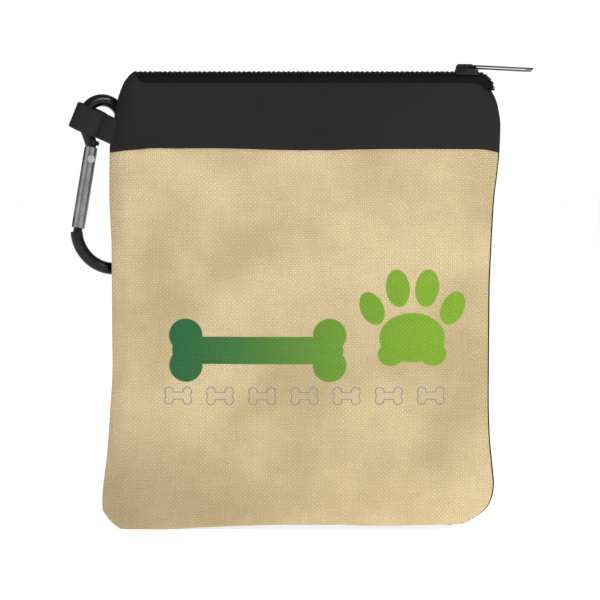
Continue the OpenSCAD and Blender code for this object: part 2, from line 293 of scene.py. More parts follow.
# The sides give X at a height. The others give the height at an X.
LEFT_EDGE = through(
    (0, -59.8), (1.5, -62.0), (4, -64.3), (7, -65.9), (11, -65.9), (17, -65.3), (26, -64.2),
    (40, -63.1), (56, -62.2), (93, -62.2), (112, -62.8), (126, -62.6), (137, -60.9), (143, -59.6),
    (BAND_TOP, -57.9),
)
RIGHT_EDGE = through(
    (0, 53.5), (1.2, 56.5), (3.5, 60.0), (6.5, 62.6), (10, 63.8), (13.5, 64.2), (20, 63.6),
    (31, 62.6), (45, 62.2), (77, 62.2), (97, 62.8), (110, 63.5), (119, 64.5), (126, 65.1),
    (134, 65.3), (140, 64.5), (143.5, 63.4), (145.6, 62.2), (BAND_TOP, 60.9),
)
BOTTOM = through(
    (-60, 0.1), (-46, 0.0), (-33, 0.7), (0, 1.6), (10, 1.6), (26, 1.2), (45, 1.5), (57, 2.0),
)
SEAM = through(
    (-63, 125.0), (-55, 125.7), (-48, 126.3), (-26, 126.2), (3, 125.6), (30, 126.0), (58, 126.0),
    (65, 125.0),
)
BAND_EDGE = through(
    (-57.9, 147.6), (-56.7, 149.1), (-55.6, 150.3), (-54.6, 151.0), (-53.9, 151.1), (-52.8, 149.0),
    (-51, BAND_TOP), (52, BAND_TOP), (61, 147.0),
)


def corner_tuck(x, z):
    """Share of the depth that is left where the left top corner folds in over the end of the zip."""
    above = np.clip((z - BAND_TOP + 1.5) / 6.0, 0, 1)
    return 1 - 0.72 * above ** 1.5 * closing(SLIDER_STOP - x, 2.2, 1.5, 1)


def closing(distance, reach, power, blunt):
    """How far a soft edge has filled out, from 0 at the edge to 1 at its reach."""
    t = np.clip(distance / reach, 0, 1)
    return (1 - (1 - t) ** power) ** blunt


def fullness(x, z, level):
    """Half of the pouch's depth at a place, and with its edges drawn in."""
    plan = HALF_DEPTH - x ** 2 / (2 * PLAN_R)
    side = HALF_DEPTH - (z - BELLY_Z) ** 2 / (2 * SIDE_R)
    depth = (plan ** -7 + side ** -7) ** (-1 / 7)
    edge = np.minimum(x - LEFT_EDGE(level), RIGHT_EDGE(level) - x)
    return 0.15 + depth * closing(edge, SEAM_EDGE, 1.7, 0.8)


def dents(x, z, seed):
    """Soft hollows and swells that handling leaves in the cloth."""
    calm = closing(z, 12, 2, 1) * closing(150 - z, 16, 2, 1)
    return calm * (0.30 * lattice(x, z, 23, seed) + 0.10 * lattice(x, z, 9, seed + 1))


def puckers(x, z):
    """Short waves that the stitches pull into the canvas below the band and above the bottom seam."""
    below = np.exp(-np.clip(SEAM(x) - z, 0, 99) / 3.5)
    above = np.exp(-np.clip(z - BOTTOM(x), 0, 99) / 4.0)
    return 0.16 * lattice(x, z * 0.3, 3.1, 5) * below + 0.22 * lattice(x, z * 0.3, 4.2, 6) * above


def canvas_form(x, level, share):
    """Places on the canvas, from the bottom seam to the band."""
    z = BOTTOM(x) + (SEAM(x) - BOTTOM(x)) * share
    low = closing(z - BOTTOM(x), 5, 2.6, 0.55)
    roll = 0.45 * (1 - closing(SEAM(x) - z, 1.3, 2, 0.5))
    depth = fullness(x, z, level) * (0.08 + 0.92 * low)
    return x, -(depth - roll + dents(x, z, 11) + puckers(x, z) * low), z


def band_form(x, level, share):
    """Places on the band, from the canvas to its folded edge at the zip."""
    z = SEAM(x) + (BAND_EDGE(x) - SEAM(x)) * share
    roll = 0.40 * (1 - closing(z - SEAM(x), 1.0, 2, 0.5))
    roll = roll + 0.35 * (1 - closing(BAND_EDGE(x) - z, 0.7, 2, 0.5))
    depth = fullness(x, z, level) * corner_tuck(x, z)
    wave = 0.12 * lattice(x, z, 14, 31) + 0.10 * lattice(x, z * 0.4, 5, 32)
    return x, -(np.maximum(depth + 0.12 - roll + wave * closing(depth, 3, 1, 1), 0.15)), z


def back_form(x, level, share):
    """Places on the back, from the bottom seam to the zip."""
    z = BOTTOM(x) + (BAND_EDGE(x) - BOTTOM(x)) * share
    low = closing(z - BOTTOM(x), 5, 2.6, 0.55)
    roll = 0.35 * (1 - closing(BAND_EDGE(x) - z, 0.7, 2, 0.5))
    depth = fullness(x, z, level) * (0.08 + 0.92 * low) * corner_tuck(x, z)
    return x, np.maximum(depth - 0.12 - roll - 0.8 * np.abs(dents(x, z, 41)) * (depth > 1.2), 0.1), z


def lining_form(side):
    """Places on the lining of one face, a little inside it."""

    def form(x, level, share):
        low = BOTTOM(x) + 2.2
        z = low + (LINING_TOP - low) * share
        depth = fullness(x, z, level) * (0.1 + 0.9 * closing(z - low, 5, 2.6, 0.55)) - 1.3
        crease = 0.25 * lattice(x, z * 0.5, 12, 51) * closing(depth, 3, 1, 1)
        return x, side * np.maximum(depth + crease, 0.08), z

    return form


def cloth(name, form, levels, inset, spans, thick, side, material):
    """A thick sheet of sewn cloth over part of the pouch, as one closed piece for each span across."""
    low, high = levels
    rows = max(int((high - low) / CLOTH_STEP), 8)
    share = np.linspace(0, 1, rows + 1)
    level = low + (high - low) * share
    left, right = LEFT_EDGE(level) + inset[0], RIGHT_EDGE(level) - inset[1]
    columns = int(2 * HALF_WIDTH / CLOTH_STEP)
    across = 0.5 - 0.5 * np.cos(np.linspace(0, math.pi, columns + 1))
    crowding = 0.35
    across = crowding * across + (1 - crowding) * np.linspace(0, 1, columns + 1)
    middle = columns // 2
    centre = (SPLIT_X - left) / (right - left)
    grid = across[None, :] * np.ones((rows + 1, 1))
    shift = centre[:, None] - across[middle]
    grid = grid + shift * (1 - np.abs(2 * grid - 1))
    x = left[:, None] + (right - left)[:, None] * grid
    x, y, z = form(x, level[:, None], share[:, None])
    outer = np.stack([x, y, z], -1)
    along, up = np.gradient(outer, axis=1), np.gradient(outer, axis=0)
    normal = np.cross(along, up)
    normal /= np.linalg.norm(normal, axis=-1)[..., None] + 1e-12
    normal *= 1 if side < 0 else -1
    inner = outer - normal * thick
    inner[..., 1] = side * np.maximum(side * inner[..., 1], 0.04)
    pieces = []
    for label, first, last in spans(middle, columns):
        piece = shell(name + label, outer, inner, normal, first, last, side, material)
        outer[:, first:last + 1]
        pieces.append(piece)
    return pieces


def length(points):
    """Length of a line of points."""
    return float(np.linalg.norm(np.diff(points, axis=0), axis=1).sum())


def shell(name, outer, inner, normal, first, last, side, material):
    """A closed piece between two grids of points, from one column to another."""
    out, inn, nor = (grid[:, first:last + 1] for grid in (outer, inner, normal))
    rows, columns = out.shape[0], out.shape[1]
    points = np.vstack([out.reshape(-1, 3), inn.reshape(-1, 3)])
    count = rows * columns
    faces, normals = [], []

    def face(a, b, c, d, directions=None):
        quad = (a, b, c, d) if side < 0 else (d, c, b, a)
        faces.append(quad)
        if directions is None:
            p = points[list(quad)]
            flat = np.cross(p[2] - p[0], p[3] - p[1])
            flat = flat / (np.linalg.norm(flat) + 1e-12)
            normals.extend([flat] * 4)
        else:
            normals.extend([directions[v % count] * (1 if v < count else -1) for v in quad])

    smooth = nor.reshape(-1, 3)
    for i in range(rows - 1):
        for j in range(columns - 1):
            a, b = i * columns + j, i * columns + j + 1
            c, d = b + columns, a + columns
            face(a, b, c, d, smooth)
            face(count + d, count + c, count + b, count + a, smooth)
    for j in range(columns - 1):
        top = (rows - 1) * columns
        face(count + j, count + j + 1, j + 1, j)
        face(top + j, top + j + 1, count + top + j + 1, count + top + j)
    for i in range(rows - 1):
        a, b = i * columns, (i + 1) * columns
        face(count + a, a, b, count + b)
        a, b = a + columns - 1, b + columns - 1
        face(a, count + a, count + b, b)
    return make(name, points, faces, material, normals=[tuple(n) for n in normals])


def one_piece(_, columns):
    """The span of a cloth in one piece."""
    return [("", 0, columns)]


def halves(middle, columns):
    """The spans of a cloth that is made as a left and a right piece."""
    return [("_left", 0, middle), ("_right", middle, columns)]


def open_mouth(left, right):
    """Bakes the placement of the front's two halves into their meshes; the mouth stretches are read but do
    not bend them.
    """
    for piece, (start, end) in ((left, MOUTH_LEFT), (right, MOUTH_RIGHT)):
        start * MM
        end * MM
        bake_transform(piece)


# ------------------------------------------------------------------ shader building


class Number:
    """A number in a shader: sums, products and the like add their Math nodes."""

    def __init__(self, finish, socket):
        self.finish, self.socket = finish, socket

    def math(self, operation, *others, flip=False):
        """A Math node on this number and others, in the other order if flipped."""
        terms = [self, *others]
        if flip:
            terms.reverse()
        return self.finish.node("ShaderNodeMath", {"operation": operation}, dict(enumerate(terms)))

    def __add__(self, other):
        return self.math("ADD", other)

    def __radd__(self, other):
        return self.math("ADD", other)

    def __sub__(self, other):
        return self.math("SUBTRACT", other)

    def __rsub__(self, other):
        return self.math("SUBTRACT", other, flip=True)

    def __mul__(self, other):
        return self.math("MULTIPLY", other)

    def __rmul__(self, other):
        return self.math("MULTIPLY", other)

    def __gt__(self, other):
        return self.math("GREATER_THAN", other)

    def __pow__(self, other):
        return self.math("POWER", other)

    def __abs__(self):
        return self.math("ABSOLUTE")

    def sin(self):
        return self.math("SINE")

    def root(self):
        return self.math("SQRT")

    def fraction(self):
        return self.math("FRACT")

    def least(self, other):
        return self.math("MINIMUM", other)

    def most(self, other):
        return self.math("MAXIMUM", other)

    def between(self, low, high):
        """0 below low, 1 above high, and smooth between them."""
        values = {"Value": self, "From Min": low, "From Max": high}
        return self.finish.node("ShaderNodeMapRange", {"interpolation_type": "SMOOTHSTEP"}, values)


class Finish:
    """A material, with its surface shader and the nodes that feed it."""

    def __init__(self, name, color, roughness, **constants):
        self.material = bpy.data.materials.new(name)
        self.material.use_nodes = True
        self.tree = self.material.node_tree
        self.surface = self.tree.nodes["Principled BSDF"]
        self.set("Base Color", color)
        self.set("Roughness", roughness)
        for socket, value in constants.items():
            self.set(socket.replace("_", " "), value)
        self.material.diffuse_color = (*color[:3], 1)

    def set(self, socket, value):
        """Gives a socket of the surface a value or a link."""
        self.link(value, self.surface.inputs[socket])

    def link(self, value, target):
        if isinstance(value, Number):
            self.tree.links.new(value.socket, target)
        elif target.type == "RGBA" and len(value) == 3:
            target.default_value = (*value, 1)
        else:
            target.default_value = value

    def node(self, kind, settings=None, inputs=None, output=0):
        """Adds a node: its settings first, then the values or links of its sockets."""
        node = self.tree.nodes.new(kind)
        for setting, value in (settings or {}).items():
            setattr(node, setting, value)
        for socket, value in (inputs or {}).items():
            self.link(value, node.inputs[socket])
        return Number(self, node.outputs[output])

    def place(self, at=(0, 0, 0), source="Object"):
        """Coordinates in millimetres, moved back by at. A UV layer is already in millimetres."""
        node = self.tree.nodes.new("ShaderNodeTexCoord")
        spread = 1 / MM if source == "Object" else 1
        values = {"Vector": Number(self, node.outputs[source]), "Scale": (spread,) * 3,
                  "Location": tuple(-a for a in at)}
        return self.node("ShaderNodeMapping", {"vector_type": "POINT"}, values)

    def axes(self, place):
        """X, Y and Z of a place."""
        node = self.tree.nodes.new("ShaderNodeSeparateXYZ")
        self.tree.links.new(place.socket, node.inputs[0])
        return [Number(self, node.outputs[i]) for i in range(3)]

    def join(self, x, y, z):
        return self.node("ShaderNodeCombineXYZ", None, {0: x, 1: y, 2: z})

    def noise(self, place, scale=1.0, detail=3.0, roughness=0.5):
        values = {"Vector": place, "Scale": scale, "Detail": detail, "Roughness": roughness}
        return self.node("ShaderNodeTexNoise", None, values)

    def mix(self, share, first, second, mode="MIX"):
        """A colour between two."""
        settings = {"data_type": "RGBA", "blend_type": mode, "clamp_factor": True}
        node = self.node("ShaderNodeMix", settings, {0: share}, output=2)
        mixer = node.socket.node
        self.link(first, mixer.inputs[6])
        self.link(second, mixer.inputs[7])
        return node

    def bump(self, height, depth, strength=1.0):
        """Relief in millimetres."""
        values = {"Height": height, "Distance": depth * MM, "Strength": strength}
        self.set("Normal", self.node("ShaderNodeBump", None, values))


def plain_weave(x, z, pitch):
    """Height of a plain weave from 0 to 1, and which yarn is on top."""
    warp = (x * (math.pi / pitch)).sin()
    weft = (z * (math.pi / pitch)).sin()
    over = (warp * weft).between(-0.18, 0.18)
    top = abs(warp) * over + abs(weft) * (1 - over)
    return top, over


def uneven(finish, place, x, z):
    """Coordinates that wander as hand-fed yarn does."""
    drift = finish.noise(place, 0.35, 2)
    other = finish.noise(finish.place(at=(31, 17, 5)), 0.35, 2)
    return x + (drift - 0.5) * YARN_WANDER, z + (other - 0.5) * YARN_WANDER


def oval(x, z, centre, size, turn=0):
    """Distance from an oval's middle, where 1 is its edge."""
    c, s = math.cos(turn), math.sin(turn)
    dx, dz = x - centre[0], z - centre[1]
    along = (dx * c + dz * s) * (1 / size[0])
    up = (dz * c - dx * s) * (1 / size[1])
    return (along * along + up * up).root()


def paw_print(x, z, middle, size):
    """1 inside a paw print: one broad pad and four toes."""
    cx, cz = middle
    pad = oval(x, z, (cx, cz - 0.18 * size), (0.36 * size, 0.27 * size))
    heel = oval(x, z, (cx - 0.21 * size, cz - 0.34 * size), (0.17 * size, 0.14 * size), 0.5)
    other_heel = oval(x, z, (cx + 0.21 * size, cz - 0.34 * size), (0.17 * size, 0.14 * size), -0.5)
    edge = pad.least(heel).least(other_heel)
    for side in (-1, 1):
        outer = (cx + side * 0.44 * size, cz + 0.14 * size)
        inner = (cx + side * 0.16 * size, cz + 0.36 * size)
        edge = edge.least(oval(x, z, outer, (0.125 * size, 0.19 * size), -side * 0.45))
        edge = edge.least(oval(x, z, inner, (0.13 * size, 0.205 * size), -side * 0.12))
    return 1 - edge.between(0.97, 1.03)


def bone_edge(x, z, middle, length, width):
    """Distance from the middle of a biscuit bone, where 1 is its edge."""
    cx, cz = middle
    knob = 1.05 * width
    past = (abs(x - cx) - 0.5 * length).most(0)
    bar = (past ** 2 + (z - cz) * (z - cz)).root() * (1 / (0.5 * width))
    for side in (-1, 1):
        for end in (-1, 1):
            place = (cx + end * 0.5 * length, cz + side * 0.52 * knob)
            bar = bar.least(oval(x, z, place, (0.58 * knob, 0.58 * knob)))
    return bar


def bone_print(x, z, middle, length, width):
    """1 inside a biscuit bone."""
    return 1 - bone_edge(x, z, middle, length, width).between(0.97, 1.03)


def canvas_finish():
    """Natural cotton canvas with a printed paw, a bone and a row of small bone outlines."""
    f = Finish("canvas", (0.62, 0.50, 0.31), 0.88, Specular_IOR_Level=0.12)
    place = f.place()
    x, _, z = f.axes(place)
    wx, wz = uneven(f, place, x, z)
    top, over = plain_weave(wx, wz, WEAVE_PITCH)
    slub = f.noise(f.place(), 0.9, 4, 0.6)
    across = f.noise(f.join(x * 0.10, 0.0, z * 1.6), 1.0, 3)
    down = f.noise(f.join(x * 1.6, 0.0, z * 0.10), 1.0, 3)
    yarn = across * (1 - over) + down * over
    patches = f.noise(place, 0.028, 3, 0.5)
    base = f.mix(patches.between(0.35, 0.68), (0.560, 0.440, 0.250), (0.725, 0.585, 0.350))
    weave = 0.70 + 0.30 * top.between(0.05, 0.85)
    shade = weave * (0.86 + 0.28 * yarn) * (0.87 + 0.14 * slub + 0.13 * over)
    base = f.mix(1.0, base, f.join(shade, shade, shade * (0.95 + 0.05 * top)), "MULTIPLY")
    # Painted shade: the canvas colour darkens towards the bottom left, away from the key light.
    painted_bottom_left_shade = (8 - x * 0.55 - z).between(-10, 40)
    base = f.mix(1.0, base, f.join(*(1 - painted_bottom_left_shade * share for share in (0.19, 0.20, 0.18))), "MULTIPLY")
    seed = f.noise(f.place(at=(7, 3, 2)), 0.55, 2, 0.7).between(0.70, 0.78)
    base = f.mix(seed * 0.35, base, (0.30, 0.20, 0.10))
    paw = paw_print(x, z, (36.5, 70.0), 30.0)
    bone = bone_print(x, z, (-14.0, 60.5), 47.0, 9.0)
    row = abs(((x + 47.0) * (1 / BISCUIT_PITCH)).fraction() - 0.5) * BISCUIT_PITCH
    biscuit = bone_edge(row, z, (0.0, 45.5), 6.0, 2.6)
    line = (1 - abs(biscuit - 0.90).between(0.09, 0.13)) * (1 - (abs(x - 1.3) > 48.3))
    fade = ((x + 46.0) * (1 / 96.0)).between(0.0, 1.0)
    ink = f.mix(fade, (0.008, 0.135, 0.045), (0.22, 0.43, 0.028))
    ink = f.mix(1.0, ink, f.join(shade, shade, shade), "MULTIPLY")
    grip = 0.80 + 0.20 * top.between(0.1, 0.6)
    base = f.mix(line * grip, base, (0.27, 0.26, 0.30))
    f.set("Base Color", f.mix(paw.most(bone) * grip, base, ink))
    f.set("Roughness", 0.92 - 0.14 * paw.most(bone))
    f.bump(top + 0.5 * yarn + 0.35 * slub, 0.22, 0.85)
    return f.material


def fine_cloth(name, color, pitch, depth, lift, rough=0.78):
    """A dense dark cloth with a fine weave."""
    f = Finish(name, color, rough, Specular_IOR_Level=0.10)
    place = f.place()
    x, _, z = f.axes(place)
    top, _ = plain_weave(x, z, pitch)
    mottle = f.noise(place, 0.05, 3, 0.55)
    fuzz = f.noise(place, 1.8, 3, 0.6)
    light = tuple(c * (1 + lift) for c in color)
    dark = tuple(c * (1 - lift) for c in color)
    share = (0.55 * mottle + 0.25 * top + 0.2 * fuzz).between(0.3, 0.7)
    f.set("Base Color", f.mix(share, dark, light))
    f.set("Roughness", rough - 0.08 * fuzz)
    f.bump(top + 0.6 * fuzz, depth, 0.6)
    return f.material


def ribbed_tape(name, color, pitch, source="Object"):
    """Woven tape whose ribs run across it."""
    f = Finish(name, color, 0.8, Specular_IOR_Level=0.08)
    place = f.place(source=source)
    x, _, z = f.axes(place)
    rib = abs((x * (math.pi / pitch)).sin())
    cross = abs((z * (math.pi / (pitch * 0.8))).sin())
    fuzz = f.noise(place, 2.2, 3)
    share = 0.6 * rib + 0.2 * cross + 0.2 * fuzz
    f.set("Base Color", f.mix(share, tuple(c * 0.6 for c in color), tuple(c * 1.25 for c in color)))
    f.set("Roughness", 0.85 - 0.1 * rib)
    f.bump(share, 0.10, 0.8)
    return f.material


def nylon_finish():
    """The coils' black nylon, with duller places."""
    f = Finish("zip_coil", (0.008, 0.008, 0.008), 0.5, Specular_IOR_Level=0.16)
    wear = f.noise(f.place(), 1.2, 3)
    f.set("Base Color", f.mix(wear, (0.005, 0.005, 0.005), (0.014, 0.014, 0.014)))
    f.set("Roughness", 0.42 + 0.2 * wear)
    return f.material


def thread_finish(name, color):
    """Twisted thread."""
    f = Finish(name, color, 0.6, Specular_IOR_Level=0.3)
    place = f.place()
    x, y, z = f.axes(place)
    twist = abs(((x + z + y * 0.6) * 16.0).sin())
    f.set("Base Color", f.mix(twist, tuple(c * 0.55 for c in color), tuple(c * 1.25 for c in color)))
    f.bump(twist, 0.05, 0.8)
    return f.material


def enamel_finish(name, color, rough):
    """Baked black enamel on metal, a little uneven and rubbed."""
    f = Finish(name, color, rough, Specular_IOR_Level=0.22, Coat_Weight=0.06, Coat_Roughness=0.1)
    place = f.place()
    orange_peel = f.noise(place, 0.9, 2)
    smudge = f.noise(place, 0.16, 4, 0.6)
    rub = f.noise(f.place(at=(3, 9, 4)), 0.7, 5, 0.65).between(0.62, 0.74)
    f.set("Base Color", f.mix(rub * 0.35, color, tuple(c * 2.6 + 0.01 for c in color)))
    f.set("Roughness", rough + 0.16 * smudge.between(0.35, 0.7))
    f.bump(orange_peel, 0.035, 0.5)
    return f.material


def bare_metal(name, color, rough):
    """Bare metal with fine drawing lines along it."""
    f = Finish(name, color, rough, Metallic=1.0)
    place = f.place()
    x, y, z = f.axes(place)
    lines = f.noise(f.join(x * 14.0, y * 14.0, z * 0.25), 1.0, 4, 0.6)
    stain = f.noise(place, 0.22, 3)
    f.set("Base Color", f.mix(stain.between(0.3, 0.75), tuple(c * 0.72 for c in color), color))
    f.set("Roughness", rough - 0.08 + 0.16 * lines)
    f.bump(lines, 0.012, 0.5)
    return f.material


def floor_finish():
    """White paper that glows enough to vanish into the background."""
    f = Finish("floor", (0.90, 0.90, 0.90), 0.9, Specular_IOR_Level=0.0, Emission_Color=(1, 1, 1, 1))
    f.set("Emission Strength", 0.70)
    f.set("Roughness", 0.88 + 0.05 * f.noise(f.place(), 0.01, 2))
    return f.material


CANVAS = canvas_finish()
BAND = fine_cloth("band_cloth", (0.0160, 0.0160, 0.0163), 0.42, 0.05, 0.12)
LINING = fine_cloth("lining", (0.055, 0.056, 0.060), 0.5, 0.05, 0.15, 0.5)
BINDING = ribbed_tape("binding", (0.03, 0.03, 0.03), 0.7)
TAPE = ribbed_tape("zip_tape", (0.0070, 0.0070, 0.0073), 0.55)
RIBBON = ribbed_tape("ribbon", (0.0215, 0.0215, 0.022), 0.62, "UV")
COIL = nylon_finish()
THREAD = thread_finish("thread", (0.03, 0.03, 0.03))
STITCH = thread_finish("stitch_thread", (0.035, 0.035, 0.035))
ENAMEL = enamel_finish("slider_enamel", (0.008, 0.008, 0.008), 0.30)
CLIP_ENAMEL = enamel_finish("clip_enamel", (0.0045, 0.0045, 0.0048), 0.22)
GUNMETAL = bare_metal("pull_metal", (0.070, 0.070, 0.072), 0.36)
GATE = bare_metal("gate_metal", (0.30, 0.30, 0.305), 0.36)
STEEL = bare_metal("spring_steel", (0.66, 0.66, 0.66), 0.26)
BRASS = bare_metal("brass", (0.75, 0.56, 0.26), 0.3)


# ------------------------------------------------------------------ cloth pieces


def front_cloth():
    """Canvas, band and lining of the front."""
    canvas = cloth("front_canvas_cloth", canvas_form, (0.0, SEAM_Z), (0.0, 0.35), halves,
                   CANVAS_T, -1, CANVAS)
    band = cloth("front_band_cloth", band_form, (SEAM_Z, BAND_TOP), (0.0, 0.0), halves,
                 CANVAS_T, -1, BAND)
    lining = cloth("front_lining_cloth", lining_form(-1), (LINING_LOW, LINING_TOP), LINING_INSET, halves,
                   LINING_T, -1, LINING)
    for pair, node, slot in ((canvas, "front_canvas", "canvas"), (band, "front_band", "band_cloth"),
                             (lining, "lining_front", "lining")):
        for piece in pair:
            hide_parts(node)
        open_mouth(*pair)


def back_cloth():
    """The back and its lining."""
    back, = cloth("back_panel_cloth", back_form, (0.0, BAND_TOP), (0.1, -0.2), one_piece, CANVAS_T, 1, BAND)
    lining, = cloth("back_lining_cloth", lining_form(1), (LINING_LOW, LINING_TOP), LINING_INSET, one_piece,
                    LINING_T, 1, LINING)
    for piece, node, slot in ((back, "back_panel", "band_cloth"), (lining, "lining_back", "lining")):
        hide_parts(node)
        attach(piece, "pouch")


def bindings():
    """The bound seam allowances inside, each a soft folded strip."""
    for node in ("side_binding_left", "side_binding_right", "bottom_binding"):
        low, high = corners(node)
        strip = bevelled(block(node + "_tape", low, high, BINDING), 0.3)
        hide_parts(node)
        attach(strip, "pouch")


# ------------------------------------------------------------------ the zip


def zip_path():
    """The coils' top line, in X and Z, from the left side seam over the top to the right one."""
    turn_x = HALF_WIDTH - TURN_R - 0.2
    turn_z = COIL_TOP - TURN_R
    flat = np.linspace(ZIP_START, turn_x, 160)
    angles = np.radians(np.linspace(88, 9, 24))
    xs = np.concatenate([flat, turn_x + TURN_R * np.cos(angles)])
    zs = np.concatenate([np.full(len(flat), COIL_TOP), turn_z + TURN_R * np.sin(angles)])
    return np.stack([xs, zs], -1)


ZIP_PATH = zip_path()


def path_frame(path):
    """Directions along a path in X and Z, and square to it on the outer side."""
    ahead = np.gradient(path, axis=0)
    ahead /= np.linalg.norm(ahead, axis=1)[:, None]
    out = np.stack([-ahead[:, 1], ahead[:, 0]], -1)
    return ahead, out


def cut_path(low, high):
    """The stretch of the zip's path with X between two values, its ends exactly there."""
    inside = ZIP_PATH[(ZIP_PATH[:, 0] > low) & (ZIP_PATH[:, 0] < high)]
    ends = []
    for x in (low, high):
        if ZIP_PATH[0, 0] < x < ZIP_PATH[-1, 0]:
            ends.append((x, np.interp(x, ZIP_PATH[:, 0], ZIP_PATH[:, 1])))
        else:
            ends.append(None)
    rows = ([ends[0]] if ends[0] else []) + list(map(tuple, inside)) + ([ends[1]] if ends[1] else [])
    return np.array(rows)


def tape_cloth(name, side, low, high):
    """Tape under the coils: level beside them, then bent down inside the band."""
    path = cut_path(low, high)
    _, out = path_frame(path)
    reach = np.clip(fullness(path[:, 0], path[:, 1] - 3.5, BAND_TOP - 3) - 0.95, COIL_OUT + 0.15, 4.1)
    top = TAPE_RISE - COIL_H
    profile = [(0.5, top), (COIL_OUT - 0.3, top - 0.02)] + [(None, share) for share in (0.0, 0.3, 0.6, 1.0)]
    rings = []
    for (x, z), (ox, oz), wide in zip(path, out, reach):
        ring = []
        for y, drop in profile:
            if y is None:
                share = drop
                bend = math.sin(min(share * 1.6, 1) * math.pi / 2)
                y = COIL_OUT - 0.1 + (wide - COIL_OUT + 0.1) * bend
                drop = top - 0.1 - 6.2 * share ** 1.35
            ring.append((x + ox * drop, side * y, z + oz * drop))
        rings.append(ring)
    rings = np.array(rings)
    under = rings.copy()
    under[..., 0] -= out[:, None, 0] * TAPE_T * 0.7
    under[..., 2] -= out[:, None, 1] * TAPE_T * 0.7
    under[..., 1] -= side * TAPE_T * np.linspace(0, 1, rings.shape[1])[None, :]
    n, m = rings.shape[:2]
    points = np.vstack([rings.reshape(-1, 3), under.reshape(-1, 3)])
    count = n * m
    faces = []
    for i in range(n - 1):
        for j in range(m - 1):
            a, b = i * m + j, i * m + j + 1
            faces += [(a, b, b + m, a + m), (count + a + m, count + b + m, count + b, count + a)]
        for a in (i * m, i * m + m - 1):
            faces.append((a, a + m, count + a + m, count + a))
    for j in range(m - 1):
        for a in (j, (n - 1) * m + j):
            faces.append((a, count + a, count + a + 1, a + 1))
    return facing_out(make(name, points, faces, TAPE))


def strung_tree():
    """Geometry nodes that set copies of a piece along a path, each turned to follow it."""
    tree = bpy.data.node_groups.new("strung_along", "GeometryNodeTree")
    face = tree.interface
    face.new_socket("Path", in_out="INPUT", socket_type="NodeSocketGeometry")
    face.new_socket("Piece", in_out="INPUT", socket_type="NodeSocketObject")
    face.new_socket("Spacing", in_out="INPUT", socket_type="NodeSocketFloat")
    face.new_socket("Finish", in_out="INPUT", socket_type="NodeSocketMaterial")
    face.new_socket("Pieces", in_out="OUTPUT", socket_type="NodeSocketGeometry")

    def node(kind, **settings):
        new = tree.nodes.new(kind)
        for setting, value in settings.items():
            setattr(new, setting, value)
        return new

    start, end = node("NodeGroupInput"), node("NodeGroupOutput")
    curve = node("GeometryNodeMeshToCurve")
    spaced = node("GeometryNodeResampleCurve", mode="LENGTH")
    tangent = node("GeometryNodeInputTangent")
    aligned = node("FunctionNodeAlignRotationToVector", axis="X")
    source = node("GeometryNodeObjectInfo")
    copies = node("GeometryNodeInstanceOnPoints")
    real = node("GeometryNodeRealizeInstances")
    finish = node("GeometryNodeSetMaterial")
    for a, b in (
        (start.outputs["Path"], curve.inputs["Mesh"]),
        (curve.outputs["Curve"], spaced.inputs["Curve"]),
        (start.outputs["Spacing"], spaced.inputs["Length"]),
        (tangent.outputs["Tangent"], aligned.inputs["Vector"]),
        (start.outputs["Piece"], source.inputs["Object"]),
        (spaced.outputs["Curve"], copies.inputs["Points"]),
        (source.outputs["Geometry"], copies.inputs["Instance"]),
        (aligned.outputs["Rotation"], copies.inputs["Rotation"]),
        (copies.outputs["Instances"], real.inputs["Geometry"]),
        (real.outputs["Geometry"], finish.inputs["Geometry"]),
        (start.outputs["Finish"], finish.inputs["Material"]),
        (finish.outputs["Geometry"], end.inputs["Pieces"]),
    ):
        tree.links.new(a, b)
    return tree


STRUNG = strung_tree()


def strung(name, path, piece, spacing, material):
    """Copies of a piece along a path of points, as one plain mesh."""
    edges = [(i, i + 1) for i in range(len(path) - 1)]
    mesh = bpy.data.meshes.new(name)
    mesh.from_pydata((np.asarray(path) * MM).tolist(), edges, [])
    obj = bpy.data.objects.new(name, mesh)
    bpy.context.collection.objects.link(obj)
    modifier = obj.modifiers.new("strung", "NODES")
    modifier.node_group = STRUNG
    named = {item.name: item.identifier for item in STRUNG.interface.items_tree if item.in_out == "INPUT"}
    modifier[named["Piece"]] = piece
    modifier[named["Spacing"]] = spacing * MM
    modifier[named["Finish"]] = material
    settle(obj)
    obj.data.polygons.foreach_set("use_smooth", [True] * len(obj.data.polygons))
    return obj


def tooth(side):
    """One turn of the coil: a flattened ring that leans along the zip, its head past the middle."""
    turns = 12
    middle = side * (COIL_OUT - TOOTH_HEAD) / 2
    reach = (COIL_OUT + TOOTH_HEAD) / 2 - TOOTH_WIRE
    ring = []
    for k in range(turns):
        a = 2 * math.pi * k / turns
        lean = 0.26 * TOOTH_PITCH * math.sin(a) * side
        height = -COIL_H / 2 + (COIL_H / 2 - TOOTH_WIRE) * math.sin(a)
        ring.append((lean, middle + reach * math.cos(a), height))
    return tube("tooth", ring, TOOTH_WIRE, COIL, sides=6, closed=True)


def stitch(length, radius, material):
    """A short thread that dips at both ends."""
    shares = np.linspace(0, 1, 6)
    path = [(length * (t - 0.5), 0, radius * (1.6 * math.sin(math.pi * t) - 0.9)) for t in shares]
    return tube("stitch", path, radius, material, sides=6)


def lifted(path, y, height):
    """The zip's path moved across to y and out by height."""
    _, out = path_frame(path)
    xs, zs = (path + out * height).T
    return np.stack([xs, np.full(len(path), y), zs], -1)


